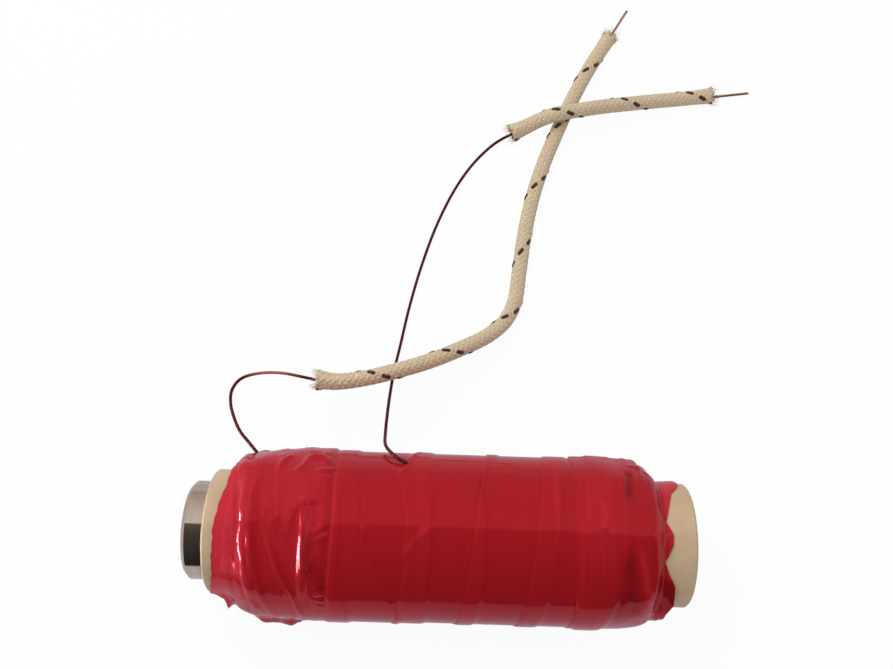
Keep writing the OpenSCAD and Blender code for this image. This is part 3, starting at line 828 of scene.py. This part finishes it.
def stripped_copper(settings):
    """Bare copper after the enamel was scraped off: bright, with scrape marks."""
    material, tree, shader = new_material("scraped_bare_copper")
    place = add(tree, "ShaderNodeTexCoord").outputs["Object"]
    # Scrape marks of about 0.4 mm
    scrape = add(tree, "ShaderNodeTexNoise", {0: place, "Scale": 2500.0, "Detail": 3.0, "Distortion": 1.5})
    dark = tuple(0.55 * c for c in settings.copper)
    colour = add(tree, "ShaderNodeMix", {0: scrape, 6: (*dark, 1), 7: (*settings.copper, 1)},
                 data_type="RGBA")
    bump = add(tree, "ShaderNodeBump", {"Strength": 0.4, "Distance": 0.02 * MM, "Height": scrape})
    set_inputs(tree, shader, {
        "Base Color": colour.outputs[2], "Normal": bump, "Metallic": 1.0, "Roughness": 0.32})
    return material


# Settings

def colour_setting(name, code, description):
    """Setting for a colour, from its sRGB hex value."""
    return bpy.props.FloatVectorProperty(
        name=name, description=description, size=3, subtype="COLOR", min=0, max=1, default=linear(code))


def length_setting(name, size, description, **limits):
    """Setting for a length, from its size in millimetres."""
    return bpy.props.FloatProperty(
        name=name, description=description, subtype="DISTANCE", unit="LENGTH", default=size * MM, **limits)


class CoilTapeSettings(bpy.types.PropertyGroup):
    """Colours of the tape and the fineness of its mesh"""
    # The dark colour is painted shade, which the darker strokes reach; the bright one is the tape over the
    # pale tube, which the strokes of painted light reach as well
    painted_shade: colour_setting("Tape, dark", "#6A0C12", "Colour of the tape where it stands off what is under it")
    over_copper: colour_setting("Tape", "#B11B24", "Colour of the tape where it lies close on the copper")
    over_tube_and_painted_light: colour_setting("Tape, bright", "#E63C50", "Colour of the tape where the tube shines through")
    arc: length_setting("Mesh step", 0.36, "Distance between points along the tape", min=0.0002, max=0.002)


class CoilLeadSettings(bpy.types.PropertyGroup):
    """Sizes and colours of the wires and their sleeving"""
    wire_diameter: length_setting("Wire", WIRE_D, "Diameter of the wire over its enamel")
    sleeve_diameter: length_setting("Sleeving", 3.7, "Outer diameter of the sleeving")
    carriers: bpy.props.IntProperty(
        name="Yarns each way", description="Yarns that run each way round the sleeving, an even number",
        default=12, min=4, max=16, step=2)
    pitch: length_setting("Braid pitch", 18, "Length in which a yarn goes once round")
    yarn_width: length_setting("Yarn width", 0.98, "Width of a flat yarn")
    yarn_thickness: length_setting("Yarn thickness", 0.24, "Thickness of a flat yarn")
    enamel: colour_setting("Enamel", "#66181E", "Colour of the enamelled wire")
    yarn: colour_setting("Yarn", "#DCC6A4", "Colour of the sleeving")
    tracer: colour_setting("Tracer", "#4E2812", "Colour of the dark yarn")
    copper: colour_setting("Bare copper", "#E2A57F", "Colour of the stripped ends")


class CoilFormerSettings(bpy.types.PropertyGroup):
    """Colours of the tube and the core"""
    tube_pale: colour_setting("Tube", "#D6BE9C", "Colour of the clean tube")
    tube_worn: colour_setting("Worn tube", "#C0A17B", "Colour of the tube where it is yellowed and handled")
    iron: colour_setting("Iron", "#F0DCC6", "Colour of the turned iron")
    iron_dark: colour_setting("Stained iron", "#D2BAA4", "Colour of the iron where it is stained")


# Width of the camera's sensor. It shows 893 pixels, and the photographed view's focal length is 945 of them
SENSOR = 36


class CoilStageSettings(bpy.types.PropertyGroup):
    """Camera and lights"""
    elevation: bpy.props.FloatProperty(
        name="Camera elevation", description="Angle at which the camera looks down", subtype="ANGLE",
        unit="ROTATION", default=math.radians(73))
    roll: bpy.props.FloatProperty(
        name="Camera roll", description="Turn of the camera about its own view", subtype="ANGLE",
        unit="ROTATION", default=math.radians(1.86))
    lens: bpy.props.FloatProperty(
        name="Lens", description="Focal length of the camera", subtype="DISTANCE_CAMERA",
        default=945 / 893 * SENSOR)
    fill: bpy.props.FloatProperty(
        name="Fill light", description="Strength of the even light from all round", default=0.5, min=0)
    table: bpy.props.FloatProperty(
        name="Mirrored floor", description="Brightness of the floor as the gloss shows it", default=0.52,
        min=0)
    key: bpy.props.FloatProperty(
        name="Key light", description="Power of the soft lamp behind the coil", subtype="POWER", unit="POWER",
        default=2.2, min=0)


# Operators

class COIL_OT_camera(bpy.types.Operator):
    """Set the camera at the photographed view"""
    bl_idname = "coil.camera"
    bl_label = "Camera"

    def execute(self, context):
        stage = context.scene.coil_stage
        data = bpy.data.cameras.new("view")
        data.sensor_fit, data.sensor_width, data.lens = "HORIZONTAL", SENSOR, stage.lens
        data.clip_start, data.clip_end = 0.005, 10
        e, r = stage.elevation, stage.roll
        forward = Vector((0, math.cos(e), -math.sin(e)))
        level, across = Vector((0, math.sin(e), math.cos(e))), Vector((1, 0, 0))
        right = across * math.cos(r) + level * math.sin(r)
        up = level * math.cos(r) - across * math.sin(r)
        stand = (0.00044, -0.0171, 0.21745)
        camera = bpy.data.objects.new("view", data)
        context.scene.collection.objects.link(camera)
        turned = Matrix((right, up, -forward)).transposed().to_4x4()
        camera.matrix_world = Matrix.Translation(stand) @ turned
        context.scene.camera = camera
        return {"FINISHED"}


class COIL_OT_leads(bpy.types.Operator):
    """Lay the two enamelled wires and finish their stripped ends"""
    bl_idname = "coil.leads"
    bl_label = "Leads"

    def execute(self, context):
        settings = context.scene.coil_leads
        varnish, bare = enamel(settings), stripped_copper(settings)
        # As in the solids, each wire starts on the winding and bends out through the tape
        a_exit, b_exit = WIND_L + 2.5, -6.02 - WIRE_D / 2
        a_r, b_r = TUBE_R + 3.5 * WIRE_D + 0.1, WIND_TOP + WIRE_D / 2 + 0.1
        a_start = [on_coil(a_exit, 183, a_r), on_coil(a_exit - 2 * WIRE_D, 182, a_r + 1.7 * WIRE_D)]
        b_start = [on_coil(b_exit, 140, b_r), on_coil(b_exit - 1.7 * WIRE_D, 141.5, b_r + WIRE_D / 2),
                   on_coil(b_exit - 3.4 * WIRE_D, 144, b_r + 1.1 * WIRE_D)]
        for letter, start, free, sleeved in (
                ("a", a_start, A_FREE, A_SLEEVED), ("b", b_start, B_FREE, B_SLEEVED)):
            route = lead_route(start, free, sleeved)
            wire = curve_piece(f"enamelled_lead_{letter}", route, settings.wire_diameter * 500, varnish)
            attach(wire, "former")
            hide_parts(f"lead_{letter}_wire")
            end = finish_solid(f"lead_{letter}_bare_end", bare)
        return {"FINISHED"}


class COIL_OT_sleeves(bpy.types.Operator):
    """Braid the two lengths of woven sleeving over the leads"""
    bl_idname = "coil.sleeves"
    bl_label = "Sleeving"

    def execute(self, context):
        settings = context.scene.coil_leads
        yarn = glass_yarn("woven_glass_yarn", settings.yarn, tuple(0.82 * c for c in settings.yarn))
        tracer = glass_yarn("dark_tracer_yarn", settings.tracer, tuple(0.5 * c for c in settings.tracer))
        tree = sleeve_tree(yarn, tracer)
        for letter, sleeved in (("a", A_SLEEVED), ("b", B_SLEEVED)):
            sleeve, route = braided_sleeve(f"braided_sleeve_{letter}", sleeved, settings, tree)
            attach(sleeve, "former")
            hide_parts(f"lead_{letter}_sleeve")
        return {"FINISHED"}


class COIL_OT_former(bpy.types.Operator):
    """Give the tube, the core and the winding their finishes"""
    bl_idname = "coil.former"
    bl_label = "Tube, core and winding"

    def execute(self, context):
        settings, leads = context.scene.coil_former, context.scene.coil_leads
        finish_solid("former_tube", former_pvc(settings))
        finish_solid("iron_core", turned_iron(settings))
        copper = wound_copper(leads)
        for number in range(1, LAYERS + 1):
            finish_solid(f"winding_layer_{number}", copper)
        return {"FINISHED"}


class COIL_OT_tape(bpy.types.Operator):
    """Wind the strip of vinyl tape, in three lengths that join under the coil"""
    bl_idname = "coil.tape"
    bl_label = "Tape wrap"

    def execute(self, context):
        settings = context.scene.coil_tape
        vinyl = vinyl_tape(settings)
        arc = settings.arc / MM
        for name, start, stop, coarse in (("vinyl_tape_first_laps", 0, 2.75, 1.0),
                                          ("vinyl_tape_steady_wrap", 2.75, 6.75, 1.4),
                                          ("vinyl_tape_last_laps", 6.75, LAST_TURN, 1.0)):
            tape = tape_length(name, start, stop, arc * coarse, arc * min(coarse, 1.2), vinyl)
            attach(tape, "former")
            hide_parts("tape_wrap")
        return {"FINISHED"}


class COIL_OT_stage(bpy.types.Operator):
    """Set the white floor, the soft lights and the cards that the gloss reflects"""
    bl_idname = "coil.stage"
    bl_label = "Stage"

    def execute(self, context):
        scene, stage = context.scene, context.scene.coil_stage
        scene.view_settings.view_transform = "Standard"
        world = bpy.data.worlds.new("white_room")
        world.use_nodes = True
        scene.world = world
        tree = world.node_tree
        tree.nodes.clear()
        ray = add(tree, "ShaderNodeLightPath").outputs
        seen = add(tree, "ShaderNodeMath", {0: ray["Is Camera Ray"], 1: ray["Is Glossy Ray"]},
                   operation="ADD")
        shown = add(tree, "ShaderNodeMath", {0: seen, 1: ray["Is Transmission Ray"]},
                    operation="ADD", use_clamp=True)
        level = add(tree, "ShaderNodeMapRange", {0: shown, 3: stage.fill, 4: 1.0})
        back = add(tree, "ShaderNodeBackground", {"Color": (1, 1, 1, 1), "Strength": level})
        add(tree, "ShaderNodeOutputWorld", {"Surface": back})

        paper, tree, shader = new_material("matt_white_floor")
        set_inputs(tree, shader, {
            "Base Color": (0.95, 0.95, 0.95, 1), "Roughness": 0.9, "Specular IOR Level": 0.0})
        ray = add(tree, "ShaderNodeLightPath").outputs
        mirrored = add(tree, "ShaderNodeMath", {0: ray["Is Glossy Ray"], 1: ray["Is Transmission Ray"]},
                       operation="ADD")
        # The camera sees the floor nearly white, with a little of the coil's shadow
        share = add(tree, "ShaderNodeMath", {0: ray["Is Camera Ray"], 1: 0.94, 2: mirrored},
                    operation="MULTIPLY_ADD", use_clamp=True)
        # Skylight makes the floor a little blue where the gloss mirrors it
        sky = tuple(stage.table * c for c in (0.97, 0.95, 1.1))
        tint = add(tree, "ShaderNodeMix", {0: mirrored, 6: (1, 1, 1, 1), 7: (*sky, 1)}, data_type="RGBA")
        glow = add(tree, "ShaderNodeEmission", {"Color": tint.outputs[2], "Strength": 1.0})
        surface = add(tree, "ShaderNodeMixShader", {0: share, 1: shader, 2: glow})
        set_inputs(tree, tree.nodes["Material Output"], {"Surface": surface})
        half, below = 900, -0.02
        corners = [(-half, -half, below), (half, -half, below), (half, half, below), (-half, half, below)]
        floor = mesh_piece("floor", corners, [(0, 1, 2, 3)], paper)

        # Cards that only gloss sees: the dim room in front of the coil and the pale wall behind it, which
        # meet overhead, and to its left a wall with two panes of a window. Each has a brightness at its
        # foot and at its head
        overhead = [(500, 57, 416), (-500, 57, 416)]
        looks = [
            ("room_card", [(-500, -165, 0), (500, -165, 0), *overhead], 0.013, 0.115),
            ("wall_card", [(-500, 320, 0), (500, 320, 0), *overhead], 0.36, 0.72),
            ("side_card", [(-151, -140, 40), (-151, 120, 40), (-151, 120, 260), (-151, -140, 260)],
             0.4, 0.13),
        ]
        x, sill, top, daylight = -149, 40, 62, 44
        for number, (y, end) in enumerate(((-84, -11), (7, 47)), 1):
            corners = [(x, y, sill), (x, end, sill), (x, end, top), (x, y, top)]
            looks.append((f"window_pane_{number}", corners, daylight, daylight))
        for name, corners, foot, head in looks:
            material, tree, _ = new_material(name)
            level = add(tree, "ShaderNodeAttribute", attribute_name="level").outputs["Fac"]
            lit = add(tree, "ShaderNodeEmission", {"Strength": level})
            set_inputs(tree, tree.nodes["Material Output"], {"Surface": lit})
            card = mesh_piece(name, corners, [(0, 1, 2, 3)], material)
            point_values(card.data, "level", [foot, foot, head, head])
            for sight in ("camera", "diffuse", "shadow", "transmission"):
                setattr(card, "visible_" + sight, False)
        lamp = bpy.data.lights.new("soft_key", "AREA")
        lamp.shape, lamp.size, lamp.energy = "SQUARE", 0.5, stage.key
        key = bpy.data.objects.new("soft_key", lamp)
        scene.collection.objects.link(key)
        stand, aim = Vector((-0.22, 0.3, 0.5)), Vector((0, 0.02, 0.02))
        key.location = stand
        key.rotation_euler = (aim - stand).to_track_quat("-Z", "Y").to_euler()
        key.visible_glossy = False
        return {"FINISHED"}


class COIL_PT_panel(bpy.types.Panel):
    """Lists the steps that dress the coil, with their settings"""
    bl_idname = "COIL_PT_panel"
    bl_label = "Taped solenoid coil"
    bl_space_type = "VIEW_3D"
    bl_region_type = "UI"
    bl_category = "Coil"

    def draw(self, context):
        for operator in OPERATORS:
            self.layout.operator(operator.bl_idname)
        for name in SETTINGS:
            group = getattr(context.scene, name)
            box = self.layout.box()
            for key in group.bl_rna.properties.keys():
                if key not in ("rna_type", "name"):
                    box.prop(group, key)


SETTINGS = {
    "coil_tape": CoilTapeSettings, "coil_leads": CoilLeadSettings, "coil_former": CoilFormerSettings,
    "coil_stage": CoilStageSettings,
}
OPERATORS = (COIL_OT_camera, COIL_OT_leads, COIL_OT_sleeves, COIL_OT_former, COIL_OT_tape, COIL_OT_stage)


def register():
    for item in (*SETTINGS.values(), *OPERATORS, COIL_PT_panel):
        bpy.utils.register_class(item)
    for name, group in SETTINGS.items():
        setattr(bpy.types.Scene, name, bpy.props.PointerProperty(type=group))


def unregister():
    for name in SETTINGS:
        delattr(bpy.types.Scene, name)
    for item in (COIL_PT_panel, *OPERATORS[::-1], *SETTINGS.values()):
        bpy.utils.unregister_class(item)


def main():
    register()
    bpy.ops.coil.camera()
    bpy.ops.coil.leads()
    bpy.ops.coil.sleeves()
    bpy.ops.coil.former()
    bpy.ops.coil.tape()
    bpy.ops.coil.stage()


if __name__ == "__main__":
    main()
